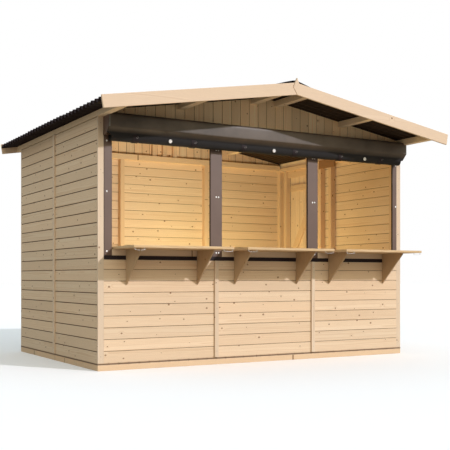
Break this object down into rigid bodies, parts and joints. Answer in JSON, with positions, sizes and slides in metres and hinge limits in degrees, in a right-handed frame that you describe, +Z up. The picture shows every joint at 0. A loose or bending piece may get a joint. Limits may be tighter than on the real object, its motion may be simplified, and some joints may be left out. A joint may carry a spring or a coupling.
{
  "type": "wooden kiosk",
  "caption": "Pine board kiosk with a low corrugated gable roof, open serving windows with shelves on brackets, a rolled-up cover over them and a hinged side door.",
  "frame": {"origin": "middle of the underside of the floor frame, on the ground", "axes": "+X to the door side, +Y to the back wall, -Y to the serving front, +Z up"},
  "size_m": [3.348, 2.614, 2.3276],
  "materials": {
    "pine_frame": "planed untreated pine studs and rails",
    "pine_boards": "planed untreated pine boards with knots",
    "roof_sheet": "matt black corrugated bitumen sheet",
    "dark_cover": "dark grey coated cover sheet, satin",
    "steel": "zinc plated"
  },
  "bodies": {
    "kiosk": {"floor_joists": "pine_frame", "floor_side_joists": "pine_frame", "corner_posts": "pine_frame", "front_posts": "pine_frame", "front_rails": "pine_frame", "front_head_rail": "pine_frame", "back_studs": "pine_frame", "back_rails": "pine_frame", "side_studs": "pine_frame", "side_rails": "pine_frame", "gable_battens": "pine_frame", "purlins": "pine_frame", "floor_boards": "pine_boards", "corner_trims": "pine_boards", "front_panel_left": "pine_boards", "front_panel_middle": "pine_boards", "front_panel_right": "pine_boards", "front_sills": "pine_boards", "front_gable": "pine_boards", "back_panel_left": "pine_boards", "back_panel_middle": "pine_boards", "back_panel_right": "pine_boards", "back_gable": "pine_boards", "left_panel_front": "pine_boards", "left_panel_back": "pine_boards", "right_panel_front": "pine_boards", "right_panels_beside_door": "pine_boards", "right_panel_over_door": "pine_boards", "joint_battens": "pine_boards", "bargeboard_front_left": "pine_boards", "bargeboard_front_right": "pine_boards", "bargeboard_back_left": "pine_boards", "bargeboard_back_right": "pine_boards", "shelves": "pine_boards", "shelf_brackets": "pine_boards", "roof_sheet_left": "roof_sheet", "roof_sheet_right": "roof_sheet", "ridge_cap": "roof_sheet", "window_strips": "dark_cover", "sill_strip": "dark_cover", "rolled_cover": "dark_cover", "frame_hinges": "steel"},
    "door": {"door_leaf": "pine_boards", "door_ledges": "pine_frame", "door_braces": "pine_frame", "door_hinges": "steel", "door_bolt": "steel"}
  },
  "joints": [
    {"name": "door_hinge", "type": "hinge", "parent": "kiosk", "child": "door", "pos_m": [1.528, 0.8, 0.9], "axis": [0, 0, 1], "range_deg": [0, 110]}
  ]
}
